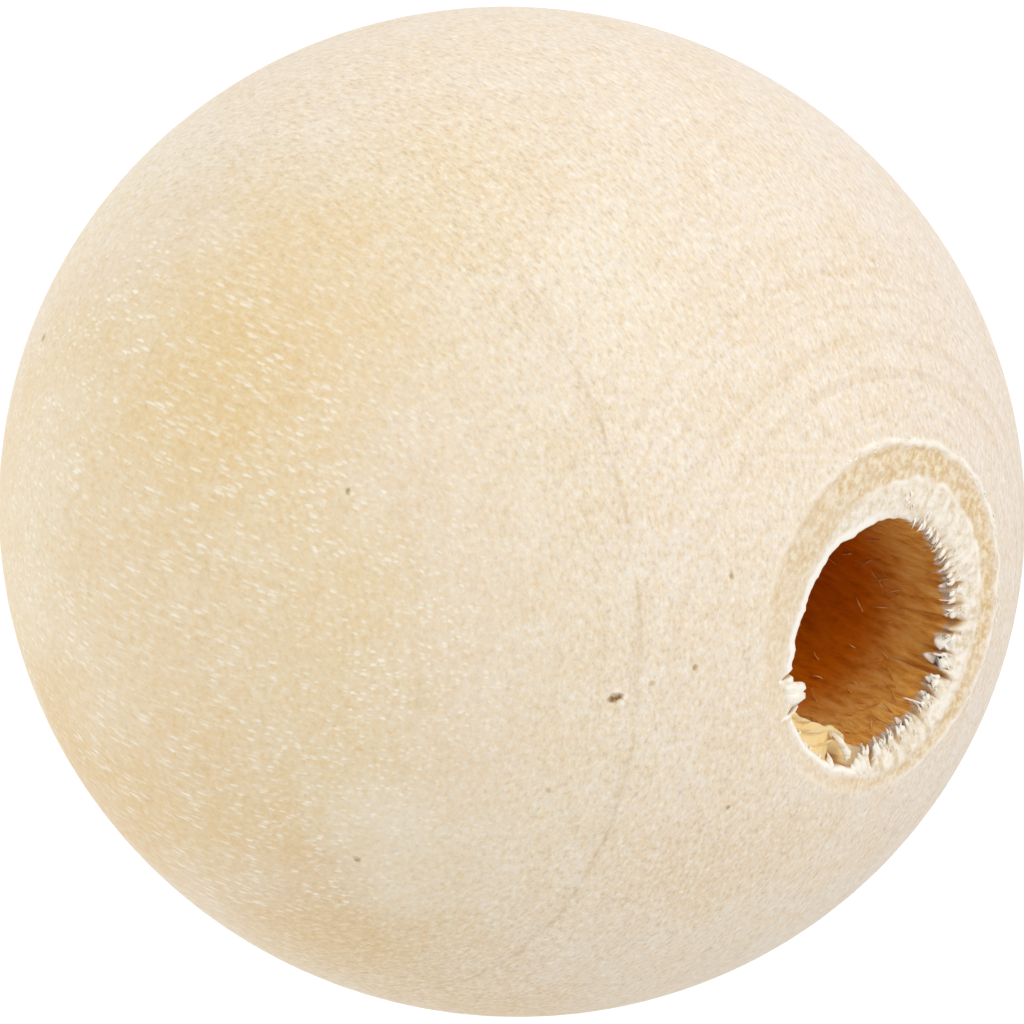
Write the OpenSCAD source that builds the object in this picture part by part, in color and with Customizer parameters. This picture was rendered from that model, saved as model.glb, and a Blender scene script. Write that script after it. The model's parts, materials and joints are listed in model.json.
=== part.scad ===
// Turned wooden ball with a bore drilled through along the grain.
// Both mouths are faced off to flat lands, and the drill has torn the rim of the upper one.
// Lengths are in millimetres and angles in degrees.
// +Z runs along the bore towards the torn mouth, and +Y is the side where its rim is torn.

/* [Ball] */
// Diameter across the widest part, square to the bore
ball_d = 20; // [16:0.5:40]
// How much further the round face would reach along the bore than across it
crown_rise = 0.34; // [0:0.01:1]

/* [Bore] */
// Diameter of the drilled bore
bore_d = 4.4; // [3:0.1:4.8]

/* [Faced mouths] */
// Outer diameter of the flat land round each mouth
land_d = 6.86; // [6.5:0.02:9]
// Lean of the upper land out of square with the bore
land_lean = 2.1; // [0:0.1:4]
// Width of the crushed lip between land and bore
lip_w = 0.65; // [0.2:0.05:0.8]
// Depth of the crushed lip where it meets the bore
lip_depth = 0.09; // [0.03:0.01:0.2]

/* [Torn rim] */
// Number of gaps that torn fibres have left in the upper rim
tear_count = 17; // [6:1:24]
// Angle round the bore, from +X, where the torn stretch starts
tear_from = 24; // [20:1:60]
// Angle round the bore, from +X, where the torn stretch ends
tear_to = 166; // [120:1:175]
// Furthest that a gap reaches out from the bore's wall
tear_reach = 0.36; // [0.1:0.02:0.6]
// Width of a gap at the bore's wall
tear_w = 0.26; // [0.1:0.01:0.36]
// Depth of the deepest gap below the land
tear_depth = 0.7; // [0.3:0.05:1.5]

/* [Broken ledge] */
// Angle round the bore, from +X, of the middle of the ledge
ledge_at = -16; // [-20:1:-10]
// How far the ledge reaches out from the bore's wall
ledge_reach = 0.42; // [0.2:0.02:0.6]
// Radius of the ledge's curved back
ledge_r = 1.2; // [1:0.05:1.4]
// Depth of the ledge below the land
ledge_depth = 0.4; // [0.2:0.05:1]

/* [Split in the rim] */
// Angle round the bore, from +X, of the fibre bundle left between two clefts
split_at = -56; // [-65:1:-52]
// Angle between the two clefts
split_gap = 13; // [10:1:16]
// Width of a cleft at the bore's wall
split_w = 0.14; // [0.08:0.01:0.24]
// How far a cleft reaches out from the bore's wall
split_reach = 0.44; // [0.2:0.02:0.6]
// Depth of a cleft below the land
split_depth = 0.55; // [0.3:0.05:1.5]

/* [Hidden] */
// Facets of a full circle in the preview
$fn = 180;
// Room that cutters run past the surfaces they cut
past = 1;
// How far the lip's cone runs on past both its edges, as a share of its width
lip_run_on = 0.5;
// How far a gap's prism starts inside the bore, in reaches of the gap
gap_back = 2;
// Share of the full reach and depth that the smallest tear keeps
tear_least = 0.45;
// Turn from one tear to the next in the wave that varies their size
tear_turn = 137.5;
// Share of the pitch by which a tear is shifted round the rim
tear_shift = 0.3;

ball_r = ball_d / 2;
bore_r = bore_d / 2;
land_r = land_d / 2;
crown_r = ball_r + crown_rise;
// Height of a land over the ball's middle, where the round face has the land's radius
land_z = crown_r * sqrt(1 - pow(land_r / ball_r, 2));
// Height at which the leaning land crosses the bore's axis
mouth_z = land_z / cos(land_lean);
tear_pitch = (tear_to - tear_from) / (tear_count - 1);

// Share of the full size that tear number i has
function tear_size(i) = tear_least + (1 - tear_least) * (1 + sin(i * tear_turn)) / 2;

// Angle round the bore of tear number i
function tear_angle(i) = tear_from + tear_pitch * (i + tear_shift * cos(i * tear_turn * 2));

// Solid turned blank, a little longer along the grain, before it is faced and drilled
module turned_blank() {
    scale([1, 1, crown_r / ball_r])
        sphere(r = ball_r);
}

// Everything above the leaning upper land
module upper_facing() {
    rotate([0, -land_lean, 0])
        translate([0, 0, land_z])
            cylinder(h = crown_r, r = ball_r);
}

// Everything below the square lower land
module lower_facing() {
    translate([0, 0, -land_z - crown_r])
        cylinder(h = crown_r, r = ball_r);
}

// Shallow cone that crushes the wood between land and bore, with the land's plane at zero
module lip_cutter() {
    translate([0, 0, -lip_depth * (1 + lip_run_on)])
        cylinder(
            h = lip_depth * (1 + 2 * lip_run_on),
            r1 = bore_r - lip_w * lip_run_on,
            r2 = bore_r + lip_w * (1 + lip_run_on)
        );
}

// Bore drilled right through, along the grain
module drill() {
    translate([0, 0, -crown_r - past])
        cylinder(h = 2 * (crown_r + past), r = bore_r);
}

// Gap left by a torn fibre: a V in plan whose root slants from the wall out to the land
module fibre_gap(at, reach, width, depth) {
    slant = atan2(reach, depth);
    rotate([0, 0, at])
        translate([bore_r, 0, mouth_z - depth])
            rotate([0, slant, 0])
                translate([0, 0, -past])
                    linear_extrude(height = depth + 3 * past)
                        polygon([
                            [0, 0],
                            [-gap_back * reach, gap_back * width / 2],
                            [-gap_back * reach, -gap_back * width / 2]
                        ]);
}

// Row of gaps along the far side of the upper rim
module torn_stretch() {
    for (i = [0 : tear_count - 1])
        fibre_gap(tear_angle(i), tear_reach * tear_size(i), tear_w, tear_depth * tear_size(i));
}

// Ledge where a flake has broken off the rim
module broken_ledge() {
    rotate([0, 0, ledge_at])
        translate([bore_r + ledge_reach - ledge_r, 0, mouth_z - ledge_depth])
            cylinder(h = ledge_depth + past, r = ledge_r);
}

// Two clefts with a fibre bundle left between them
module split_rim() {
    for (side = [-1, 1])
        fibre_gap(split_at + side * split_gap / 2, split_reach, split_w, split_depth);
}

module ball() {
    color([0.93, 0.87, 0.76])
        difference() {
            turned_blank();
            upper_facing();
            lower_facing();
            drill();
            translate([0, 0, mouth_z])
                rotate([0, -land_lean, 0])
                    lip_cutter();
            translate([0, 0, -land_z])
                mirror([0, 0, 1])
                    lip_cutter();
            torn_stretch();
            broken_ledge();
            split_rim();
        }
}

ball();
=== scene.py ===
# Looks for the drilled wooden ball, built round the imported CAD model.
# Lengths are worked out in millimetres and written to the meshes in metres.
import json
import math

import bpy
import numpy as np
from mathutils import Matrix, Vector, noise


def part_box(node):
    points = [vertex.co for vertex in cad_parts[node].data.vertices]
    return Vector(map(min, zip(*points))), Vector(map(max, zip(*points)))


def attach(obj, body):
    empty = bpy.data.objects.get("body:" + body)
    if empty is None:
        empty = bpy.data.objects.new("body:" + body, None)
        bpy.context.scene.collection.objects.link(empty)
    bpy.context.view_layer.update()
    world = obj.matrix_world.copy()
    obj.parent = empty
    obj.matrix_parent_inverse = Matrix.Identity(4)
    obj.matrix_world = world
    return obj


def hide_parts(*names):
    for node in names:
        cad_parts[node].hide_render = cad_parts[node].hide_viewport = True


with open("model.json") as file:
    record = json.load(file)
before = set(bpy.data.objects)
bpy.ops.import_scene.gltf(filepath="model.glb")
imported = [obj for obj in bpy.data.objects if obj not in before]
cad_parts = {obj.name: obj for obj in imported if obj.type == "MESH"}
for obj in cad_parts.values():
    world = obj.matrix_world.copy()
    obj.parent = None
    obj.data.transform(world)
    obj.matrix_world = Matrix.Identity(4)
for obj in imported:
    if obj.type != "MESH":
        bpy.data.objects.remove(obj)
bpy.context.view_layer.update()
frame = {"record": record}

mm = 0.001
snap = 1e-3  # mm within which two places count as one
mounts = {mount["name"]: mount for mount in frame["record"]["mounts"]}
low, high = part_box("ball")
ballR = high.x / mm
landZ = -low.z / mm
boreR = mounts["bore"]["dims"]["r_mm"]
leanAxis = mounts["upper_land"]["axis"]
landSlope = -leanAxis[0] / leanAxis[2]  # the torn land climbs by this much for each mm of x
mouthZ = landZ / leanAxis[2]  # height at which that land crosses the bore's axis
print("frame: ball radius %.3f, land height %.3f, bore radius %.3f" % (ballR, landZ, boreR))


# Camera, at the photo's angle

viewer = {
    "tilt": 49.05,  # degrees between the bore and the line of sight
    "roll": 18.6,  # degrees that the bore drops to the right in the picture
    "distance": 150.0,
    "lens": 265.3,
    "shift": (0.024, -0.012),  # mm to the right and up
}

tilt = math.radians(viewer["tilt"])
roll = math.radians(viewer["roll"])
towardCamera = Vector((0, -math.sin(tilt), math.cos(tilt)))
upAcross = Vector((0, math.cos(tilt), math.sin(tilt)))
pictureRight = Vector((-math.sin(roll), 0, 0)) + upAcross * math.cos(roll)
pictureUp = Vector((-math.cos(roll), 0, 0)) - upAcross * math.sin(roll)


def facing(right, up, back, place):  # matrix of something that looks along minus back
    turn = Matrix((right, up, back)).transposed().to_4x4()
    return Matrix.Translation(place) @ turn


cameraData = bpy.data.cameras.new("camera")
cameraData.lens = viewer["lens"]
cameraData.sensor_width = 36
cameraData.clip_start = 0.01
cameraData.clip_end = 20
camera = bpy.data.objects.new("camera", cameraData)
bpy.context.collection.objects.link(camera)
cameraPlace = towardCamera * viewer["distance"] + pictureRight * viewer["shift"][0]
cameraPlace = cameraPlace + pictureUp * viewer["shift"][1]
camera.matrix_world = facing(pictureRight, pictureUp, towardCamera, cameraPlace * mm)
bpy.context.scene.camera = camera
print("camera set")


# Small helpers

def paint(hexValue):  # sRGB hex to linear colour
    parts = [int(hexValue[i:i + 2], 16) / 255 for i in (1, 3, 5)]
    linear = [p / 12.92 if p <= 0.04045 else ((p + 0.055) / 1.055) ** 2.4 for p in parts]
    return (*linear, 1.0)


def grey(value):
    return (value, value, value, 1.0)


# Settings that many nodes share
tinting = {"data_type": "RGBA", "blend_type": "MULTIPLY"}
covering = {"data_type": "RGBA"}
easing = {"interpolation_type": "SMOOTHSTEP"}
product = {"operation": "MULTIPLY"}
oneWay = {"noise_dimensions": "1D"}


def addNode(tree, kind, settings=None, inputs=None):
    node = tree.nodes.new("ShaderNode" + kind)
    for name, value in (settings or {}).items():
        if name == "stops":  # colour ramp: place, then sRGB hex
            while len(node.color_ramp.elements) < len(value):
                node.color_ramp.elements.new(1.0)
            for element, (place, hexValue) in zip(node.color_ramp.elements, value):
                element.position = place
                element.color = paint(hexValue)
        else:
            setattr(node, name, value)
    for name, value in (inputs or {}).items():
        if isinstance(value, bpy.types.NodeSocket):
            tree.links.new(value, node.inputs[name])
        else:
            node.inputs[name].default_value = value
    return node


def startFinish(name):  # a material with an empty node tree
    material = bpy.data.materials.new(name)
    material.use_nodes = True
    material.node_tree.nodes.clear()
    return material, material.node_tree


def startPiece(name):  # names the object that the last operator made
    piece = bpy.context.active_object
    piece.name = name
    piece.data.name = name
    return piece


def pickPoints(piece, rule):  # in edit mode, selects the points that the rule accepts
    bpy.ops.mesh.select_all(action="DESELECT")
    bpy.ops.object.mode_set(mode="OBJECT")
    for point in piece.data.vertices:
        point.select = rule(point.co / mm)
    bpy.ops.object.mode_set(mode="EDIT")


def readPoints(piece):
    flat = np.empty(len(piece.data.vertices) * 3, np.float32)
    piece.data.vertices.foreach_get("co", flat)
    return flat.reshape(-1, 3).astype(float) / mm


def writePoints(piece, points):
    piece.data.vertices.foreach_set("co", (points * mm).astype(np.float32).ravel())
    piece.data.update()


def writeValues(piece, name, values):
    layer = piece.data.attributes.new(name, "FLOAT", "POINT")
    layer.data.foreach_set("value", values.astype(np.float32))


def eased(share):  # slow at both ends
    return share * share * (3 - 2 * share)


def ramp(value, start, end):  # 0 before start, 1 past end, smooth between
    return eased(np.clip((value - start) / (end - start), 0, 1))


def bell(value, middle, half):  # 1 at the middle, falling away on both sides
    return np.exp(-(((value - middle) / half) ** 2))


def knotsRound(azimuth, knots):  # the knots before and after each azimuth, and the share of the way between
    place = (azimuth % 360) / 360 * knots
    first = np.floor(place).astype(int)
    return first % knots, (first + 1) % knots, eased(place - first)


def roundWave(azimuth, knots, seed):  # smooth random wave round the bore, from -1 to 1
    heights = np.random.default_rng(seed).uniform(-1, 1, knots)
    before, after, share = knotsRound(azimuth, knots)
    return heights[before] * (1 - share) + heights[after] * share


waveRows = 256  # a patch wave repeats after this many rows
firstRow = 100  # the row at which its second direction is 0


def patchWave(azimuth, along, knots, pitch, seed):  # the same in two directions
    heights = np.random.default_rng(seed).uniform(-1, 1, (knots, waveRows))
    before, after, share = knotsRound(azimuth, knots)
    row = along / pitch + firstRow
    lower = np.floor(row).astype(int)
    climb = eased(row - lower)
    under, over = [
        heights[before, number % waveRows] * (1 - share) + heights[after, number % waveRows] * share
        for number in (lower, lower + 1)
    ]
    return under * (1 - climb) + over * climb


def roundTable(azimuth, table):  # reads a table of (azimuth, value) that closes on itself
    places, values = zip(*table)
    return np.interp(azimuth % 360, places, values, period=360)


# Ball: a profile drawn point by point, then spun about the bore

ballShape = {
    "stepsRound": 400,
    "landR": 3.43,
    "lipW": 0.65,
    "lipDepth": 0.09,
    "arcs": ((5.6, 32), (34.0, 56), (100.28, 38)),  # degrees and steps, from the torn land down
    "landSteps": 24,
    "lipSteps": 20,
    "wallStretches": ((1.2, 28), (3.4, 18), (13.6, 5)),  # mm and steps, down the bore
    "lowerSteps": (3, 6, 6),  # for the last of the wall, the lower lip and the lower land
    "leanReach": 24.0,  # degrees past the land over which its lean fades out
}
landR = ballShape["landR"]
lipR = boreR + ballShape["lipW"]
lipDepth = ballShape["lipDepth"]
crown = landZ / math.sqrt(1 - (landR / ballR) ** 2) / ballR  # how much longer it is along the bore
landAngle = math.degrees(math.asin(landR / ballR))


def growTo(x, z, fromX, fromZ, steps):  # draws a straight stretch of the profile
    step = ((x - fromX) / steps * mm, 0, (z - fromZ) / steps * mm)
    for i in range(steps):
        bpy.ops.mesh.extrude_vertices_move(TRANSFORM_OT_translate={"value": step})


bpy.ops.object.select_all(action="DESELECT")
bpy.ops.mesh.primitive_plane_add(size=0.1 * mm, location=(landR * mm, 0, landZ / crown * mm))
ball = startPiece("turned_ball")
bpy.ops.object.transform_apply(location=True, rotation=True, scale=True)
bpy.ops.object.mode_set(mode="EDIT")
bpy.ops.mesh.select_all(action="SELECT")
bpy.ops.mesh.merge(type="CENTER")
for angle, steps in ballShape["arcs"]:
    bpy.ops.mesh.spin(
        steps=steps, angle=math.radians(angle), center=(0, 0, 0), axis=(0, -1, 0), use_auto_merge=False
    )
bpy.ops.mesh.select_all(action="SELECT")
bpy.ops.transform.resize(value=(1, 1, crown), center_override=(0, 0, 0))
pickPoints(ball, lambda co: co.z > landZ - snap)
growTo(lipR, landZ, landR, landZ, ballShape["landSteps"])
growTo(boreR, landZ - lipDepth, lipR, landZ, ballShape["lipSteps"])
wallZ = landZ - lipDepth
for length, steps in ballShape["wallStretches"]:
    growTo(boreR, wallZ - length, boreR, wallZ, steps)
    wallZ -= length
wallEndSteps, lowerLipSteps, lowerLandSteps = ballShape["lowerSteps"]
growTo(boreR, -landZ + lipDepth, boreR, wallZ, wallEndSteps)
growTo(lipR, -landZ, boreR, -landZ + lipDepth, lowerLipSteps)
growTo(landR, -landZ, lipR, -landZ, lowerLandSteps)
bpy.ops.mesh.select_all(action="SELECT")
bpy.ops.mesh.remove_doubles(threshold=snap * mm)
bpy.ops.object.mode_set(mode="OBJECT")
turned = ball.modifiers.new("turned", "SCREW")
turned.axis = "Z"
turned.angle = math.tau
turned.steps = ballShape["stepsRound"]
turned.render_steps = ballShape["stepsRound"]
turned.use_merge_vertices = True
turned.merge_threshold = snap * mm
bpy.ops.object.modifier_apply(modifier="turned")
bpy.ops.object.mode_set(mode="EDIT")
bpy.ops.mesh.select_all(action="SELECT")
bpy.ops.mesh.remove_doubles(threshold=snap * mm)
bpy.ops.mesh.normals_make_consistent(inside=False)
bpy.ops.object.mode_set(mode="OBJECT")
bpy.ops.object.shade_smooth()
print("ball: %d points, %d faces" % (len(ball.data.vertices), len(ball.data.polygons)))


# Torn mouth: the points near the upper land are moved by where they lie round the bore

mouth = {
    # azimuth from +X, radius of the wood's inner edge
    "rimEdge": (
        (20, 2.26), (28, 2.22), (40, 2.20), (66, 2.22), (90, 2.20), (120, 2.22), (150, 2.20),
        (183, 2.25), (192, 2.24), (202, 2.20), (212, 2.16), (222, 2.14), (230, 2.22), (240, 2.24),
        (250, 2.20), (262, 2.21), (270, 2.15), (278, 2.24), (285, 2.30), (290, 2.24), (297, 2.32),
        (312, 2.30),
    ),
    # azimuth, reach past the edge, half width in degrees
    "gaps": (
        (24, 0.40, 2.0), (31, 0.12, 1.8), (36, 0.14, 1.8), (42, 0.18, 2.2), (50, 0.16, 2.0),
        (55.5, 0.12, 1.6), (59.5, 0.20, 2.4), (63.5, 0.14, 1.6), (72, 0.20, 2.2), (76, 0.12, 1.6),
        (82, 0.38, 2.4), (86, 0.28, 1.8), (92.5, 0.18, 1.8), (102, 0.20, 2.0), (107, 0.38, 3.4),
        (115.5, 0.22, 2.0), (120.5, 0.12, 1.6), (125, 0.26, 2.2), (130, 0.14, 1.6), (135, 0.18, 1.8),
        (139.5, 0.12, 1.6), (143.5, 0.18, 2.0), (148, 0.12, 1.6), (152, 0.14, 1.8), (158, 0.12, 1.8),
        (165, 0.16, 2.2), (171, 0.10, 1.6), (301, 0.44, 1.5), (317, 0.44, 1.7),
    ),
    "gapDepth": 0.75,
    # azimuth, radius where the whitish fuzz ends
    "fuzzEdge": (
        (10, 2.78), (30, 2.82), (60, 2.86), (90, 2.90), (105, 2.94), (130, 3.02), (150, 3.08),
        (170, 3.08), (190, 2.96), (205, 2.86), (220, 2.74), (240, 2.58), (255, 2.50), (272, 2.44),
        (300, 2.62), (318, 2.74), (345, 2.74),
    ),
    # azimuth, strength of the tan band outside the fuzz
    "tanStrength": (
        (10, 0.6), (30, 0.75), (50, 0.95), (90, 1.1), (130, 1.0), (180, 1.0), (205, 0.9), (235, 0.7),
        (270, 0.5), (310, 0.3), (340, 0.35),
    ),
    # azimuth, strength of the pale raised line at the land's outer edge
    "ringStrength": (
        (10, 0.15), (60, 0.45), (100, 0.8), (150, 0.9), (195, 1.0), (215, 0.6), (240, 0.25), (300, 0.0),
    ),
    "ledgeFrom": -41.0,
    "ledgeTo": 19.0,
    "ledgeTurn": 2.5,  # degrees over which the ledge's two ends rise
    "ledgeBack": 2.61,
    # azimuth from -180 to 180, radius of the broken flap's inner edge
    "flapEdge": (
        (-45, 2.32), (-35, 2.27), (-24, 2.18), (-15, 2.03), (-3, 1.94), (6, 1.95), (13, 2.10), (17, 2.26),
        (20, 2.4),
    ),
    "flapDrop": 0.34,
    "pitAt": 7.0,  # azimuth of the dark pit behind the flap
    "pitHalf": 4.5,
    "pitDrop": 0.34,
    "rippleHeight": 0.0018,
    "ripplePitch": 0.46,
    "burrHeight": 0.030,
    "burrHalf": 0.06,
}

points = readPoints(ball)
radius = np.hypot(points[:, 0], points[:, 1])
azimuth = np.degrees(np.arctan2(points[:, 1], points[:, 0])) % 360
height = points[:, 2]
cosine = np.cos(np.radians(azimuth))
sine = np.sin(np.radians(azimuth))
rimZ = landZ - lipDepth
onWall = (radius < boreR + snap) & (np.abs(height) < rimZ - snap)
onFace = (np.abs(height) > rimZ - 2 * snap) & (radius < landR + 2 * snap)
onRound = ~(onWall | onFace)
upper = height > 0
polar = np.degrees(np.arctan2(radius, height / crown))  # angle down from the torn mouth
depth = np.where(onWall, rimZ - np.abs(height), 0.0)


def landEdge(cosineThere):  # where the leaning land leaves the round face, found in a few rounds
    edge = landR
    for i in range(6):
        edge = ballR * np.sqrt(1 - ((mouthZ + landSlope * edge * cosineThere) / (ballR * crown)) ** 2)
    return edge


edgeR = landEdge(cosine)

# Inner edge of the wood round the torn mouth
rimEdge = roundTable(azimuth, mouth["rimEdge"])
rimEdge = rimEdge + 0.017 * roundWave(azimuth, 96, 3) + 0.008 * roundWave(azimuth, 190, 4)
tornSide = ramp(azimuth, 18, 30) * (1 - ramp(azimuth, 172, 184))
rimEdge = rimEdge + tornSide * 0.035 * (1 + roundWave(azimuth, 140, 5))
gap = np.zeros(len(points))
for place, reach, half in mouth["gaps"]:
    off = np.abs((azimuth - place + 180) % 360 - 180)
    gap = np.maximum(gap, reach * np.clip(1 - off / half, 0, 1))
rimEdge = rimEdge + gap

faceShare = np.clip((radius - boreR) / (lipR - boreR), 0, 1)  # 0 at the bore, 1 at the lip's outer edge
landShare = np.clip((radius - lipR) / (landR - lipR), 0, 1)
wallFade = np.clip(1 - depth / (mouth["gapDepth"] * (0.5 + gap / 0.3)), 0, 1)
newR = radius.copy()
newZ = height.copy()

ringStrength = roundTable(azimuth, mouth["ringStrength"])
lipPart = onFace & upper & (radius <= lipR + snap)
landPart = onFace & upper & (radius > lipR + snap)
wallPart = onWall & upper

newR = np.where(lipPart, rimEdge + faceShare * (lipR - rimEdge), newR)
fuzzLift = 0.016 * patchWave(azimuth, radius, 260, 0.22, 11)
fuzzLift = fuzzLift + 0.014 * patchWave(azimuth, radius, 120, 0.12, 12)
fuzzLift = fuzzLift * (0.35 + 0.65 * tornSide)
swell = 0.045 * np.sin(np.pi * np.clip((radius - boreR) / 1.0, 0, 1))
lipFall = lipDepth * (1 - faceShare) ** 2.2
newR = np.where(landPart, lipR + landShare * (edgeR - lipR), newR)
groove = -0.024 * ringStrength * bell(newR - edgeR, -0.20, 0.13)
newZ = np.where(lipPart, mouthZ - lipFall + fuzzLift + swell * tornSide + groove, newZ)
newZ = np.where(landPart, mouthZ + (fuzzLift + swell * tornSide) * (1 - landShare) + groove, newZ)
newR = np.where(wallPart, boreR + (rimEdge - boreR) * wallFade, newR)
wallGrain = 0.012 * patchWave(azimuth, height, 150, 1.3, 21)
wallGrain = wallGrain + 0.008 * patchWave(azimuth, height, 200, 0.5, 22)
newR = np.where(onWall, newR + wallGrain * ramp(depth, 0.0, 0.5), newR)

# Ledge broken off the rim, with the torn flap lying in it
around = (azimuth + 180) % 360 - 180
ledge = ramp(around, mouth["ledgeFrom"], mouth["ledgeFrom"] + mouth["ledgeTurn"])
ledge = ledge * (1 - ramp(around, mouth["ledgeTo"] - mouth["ledgeTurn"], mouth["ledgeTo"]))
ledgeBack = mouth["ledgeBack"] + 0.03 * roundWave(azimuth, 70, 31)
flapEdge = np.interp(around, *zip(*mouth["flapEdge"])) + 0.025 * roundWave(azimuth, 60, 34)
flapZ = -mouth["flapDrop"] + 0.03 * roundWave(azimuth, 40, 32) - 0.10 * ramp(around, 8, 18)
pit = mouth["pitDrop"] * bell(around, mouth["pitAt"], mouth["pitHalf"])
ledgeR = np.zeros(len(points))
ledgeDrop = np.zeros(len(points))
# Section through the ledge: share of the way from bore to lip, radius, height over the land
ledgeSteps = (
    (0.0, flapEdge, flapZ - 0.03),
    (0.42, ledgeBack - 0.10, flapZ + 0.06 - pit),
    (0.52, ledgeBack - 0.03, flapZ * 0.75 - pit),
    (0.64, ledgeBack, flapZ * 0.10 - 0.01),
    (0.78, ledgeBack + 0.07, 0.01),
    (1.0, lipR, 0.0),
)
for (shareA, rA, zA), (shareB, rB, zB) in zip(ledgeSteps, ledgeSteps[1:]):
    inside = (faceShare >= shareA) & (faceShare <= shareB)
    t = (faceShare - shareA) / (shareB - shareA)
    ledgeR = np.where(inside, rA * (1 - t) + rB * t, ledgeR)
    ledgeDrop = np.where(inside, zA * (1 - t) + zB * t, ledgeDrop)
roughShelf = 0.02 * patchWave(azimuth, radius, 220, 0.1, 33) * (1 - faceShare) + fuzzLift * faceShare
newR = np.where(lipPart, newR * (1 - ledge) + ledgeR * ledge, newR)
newZ = np.where(lipPart, newZ * (1 - ledge) + (mouthZ + ledgeDrop + roughShelf) * ledge, newZ)
flapWallR = boreR + (flapEdge - boreR) * (1 - ramp(depth, 0.05, 0.35))
newR = np.where(wallPart, newR * (1 - ledge) + flapWallR * ledge, newR)
flapSink = (-flapZ + 0.04 - lipDepth) * np.clip(1 - depth / 1.6, 0, 1)
newZ = np.where(wallPart, newZ - flapSink * ledge, newZ)

# Ring burr and turning ripples on the round face
polarEdge = np.degrees(np.arctan2(edgeR, (mouthZ + landSlope * edgeR * cosine) / crown))
fade = 1 - ramp(polar, landAngle, landAngle + ballShape["leanReach"])
newPolar = np.radians(np.where(onRound & upper, polar + (polarEdge - landAngle) * fade, polar))
beyond = (np.degrees(newPolar) - polarEdge) * math.pi / 180 * ballR  # mm past the land's edge
ripple = np.sin(beyond / mouth["ripplePitch"] * math.tau + 0.3 * roundWave(azimuth, 7, 41))
ripple = mouth["rippleHeight"] * ripple
ripple = ripple * ramp(beyond, 0.1, 0.5) * (1 - ramp(beyond, 5.0, 8.0))
burrPlace = 0.03 + 0.06 * roundWave(azimuth, 52, 42) + 0.04 * roundWave(azimuth, 160, 44)
burr = ringStrength * (mouth["burrHeight"] + 0.024 * roundWave(azimuth, 170, 43))
lift = ripple + burr * bell(beyond, burrPlace, mouth["burrHalf"])
grown = 1 + lift / ballR
roundPart = onRound & upper
newR = np.where(roundPart, ballR * np.sin(newPolar) * grown, newR)
newZ = np.where(roundPart, ballR * crown * np.cos(newPolar) * grown, newZ)
burrOnLand = burr * bell(newR - edgeR, burrPlace, mouth["burrHalf"])
newZ = np.where(landPart, newZ + burrOnLand, newZ)

# The leaning land carries the lip and the top of the bore with it
carried = lipPart | landPart
leanShare = np.where(wallPart, 1 - ramp(depth, 0.0, 3.0), np.where(carried, 1.0, 0.0))
newX = newR * cosine
newY = newR * sine
newZ = newZ + landSlope * newX * leanShare + np.where(wallPart, (mouthZ - landZ) * leanShare, 0.0)
writePoints(ball, np.stack([newX, newY, newZ], axis=1))

# What each finish needs to know: distances are from the rim, in mm
away = np.where(onWall, -depth, np.where(onFace, newR - rimEdge, beyond + edgeR - rimEdge))
fuzzEdge = roundTable(azimuth, mouth["fuzzEdge"]) + 0.05 * roundWave(azimuth, 90, 51)
fromEdge = np.where(onRound, beyond, newR - edgeR)
fuzz = (1 - ramp(newR, fuzzEdge - 0.10, fuzzEdge + 0.10)) * upper * onFace
tanBand = ramp(newR, fuzzEdge - 0.06, fuzzEdge + 0.16) * (1 - ramp(fromEdge, -0.14, 0.02)) * onFace * upper
tanBand = tanBand * roundTable(azimuth, mouth["tanStrength"])
tanBand = tanBand * (0.95 + 0.34 * patchWave(azimuth, newR, 80, 0.22, 57))
tanBand = np.clip(tanBand, 0, 1)
ringWidth = 0.058 + 0.022 * roundWave(azimuth, 90, 58)
ringLine = np.exp(-(((fromEdge - burrPlace) / ringWidth) ** 4)) * ringStrength * upper * ~onWall
ringLine = np.clip(ringLine * (0.85 + 0.4 * roundWave(azimuth, 140, 53)), 0, 1)
innerLine = bell(newR - fuzzEdge, 0.05, 0.05) * (0.7 + 0.5 * roundWave(azimuth, 110, 54))
innerLine = np.clip(innerLine, 0, 1) * ramp(azimuth, 60, 120) * (1 - ramp(azimuth, 195, 225)) * upper * onFace
ringLine = np.maximum(ringLine, innerLine)
# Painted highlight: a bright white line along the rim on the near side, and along the back of the broken
# ledge
nearSide = ramp(azimuth, 186, 214) * (1 - ramp(azimuth, 352, 359))
nearWidth = 0.27 + 0.03 * roundWave(azimuth, 80, 55)
nearLine = (1 - ramp(newR - rimEdge, 0.15, nearWidth)) * nearSide
nearLine = np.where(ledge > 0.5, bell(newR - ledgeBack, 0.05, 0.06), nearLine)
strand = patchWave(azimuth, newR, 230, 0.34, 56) * tornSide
stainFrom = 0.02 + 0.10 * tornSide * (1 + roundWave(azimuth, 170, 52)) + 0.05 * ledge
stain = np.where(onWall, ramp(depth, stainFrom, stainFrom + 0.10), 0.0)
stain = np.where(upper, stain, onWall * ramp(depth, 0.02, 0.3))
gapShade = np.where(lipPart, 1 - ramp(faceShare, 0.0, 0.5), 0.0)
gapShade = np.where(wallPart, wallFade * (1 - ramp(depth, 0.1, 0.6)), gapShade)
gapShade = np.clip(gap / 0.2, 0, 1) * gapShade
pitShade = np.clip(pit / 0.2, 0, 1) * (np.abs(newR - ledgeBack + 0.07) < 0.07) * lipPart * ledge
gapShade = np.maximum(gapShade, pitShade)
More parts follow.
